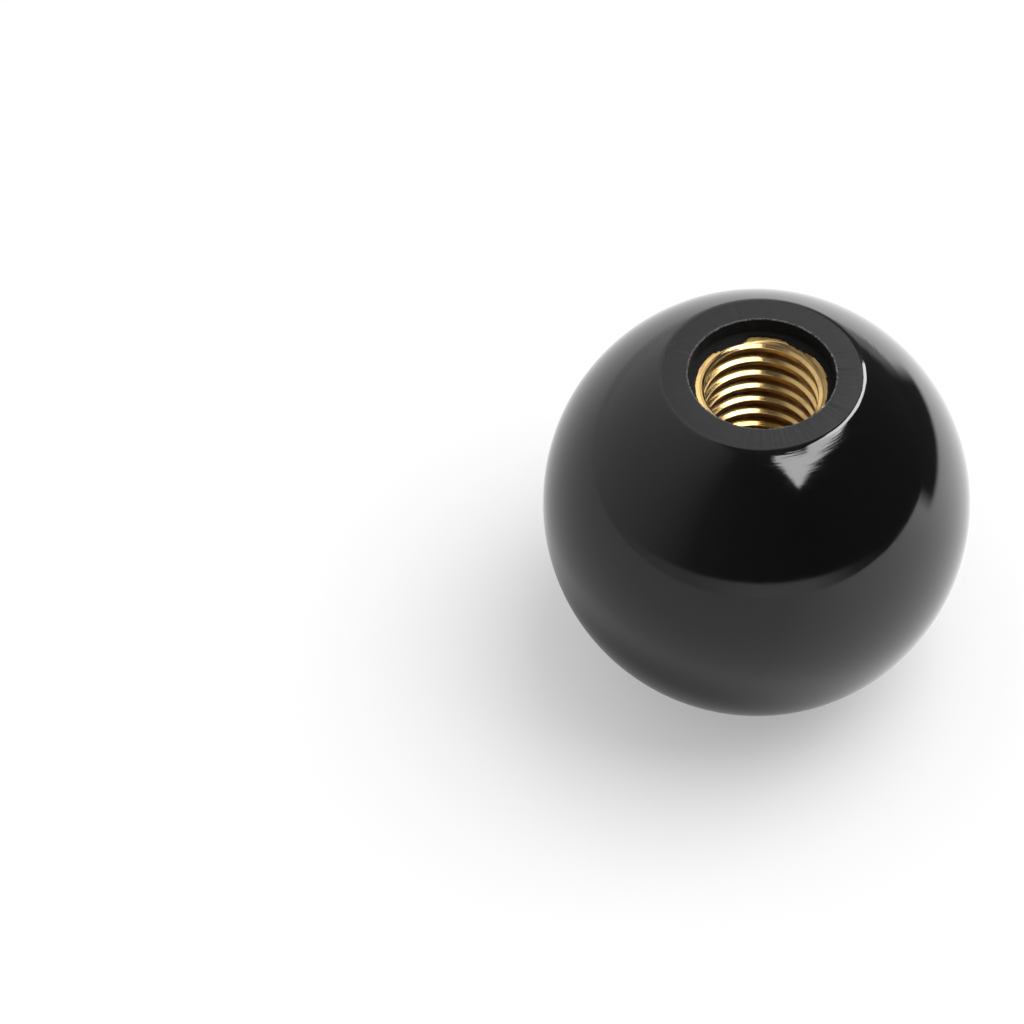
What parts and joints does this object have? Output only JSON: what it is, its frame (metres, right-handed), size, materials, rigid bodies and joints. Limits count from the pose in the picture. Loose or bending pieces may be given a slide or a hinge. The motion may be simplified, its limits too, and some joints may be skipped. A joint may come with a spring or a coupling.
{
  "type": "ball knob",
  "caption": "Black ball knob with a flat seat and a moulded-in threaded brass insert, for the end of a lever, rod or clamp.",
  "frame": {"origin": "the ball's lowest point, opposite the seat, on the thread's axis", "axes": "+Z along the thread's axis, out of its mouth; X and Y are free round that axis, and the thread's groove reaches the insert's top 30 degrees from +X towards +Y"},
  "size_m": [0.04, 0.04, 0.0379],
  "materials": {
    "black_thermoset": "polished, with a matt turned seat",
    "brass": "bare, as cut by the drill and the tap"
  },
  "bodies": {
    "root": {"ball": "black_thermoset", "threaded_insert": "brass"}
  },
  "joints": []
}
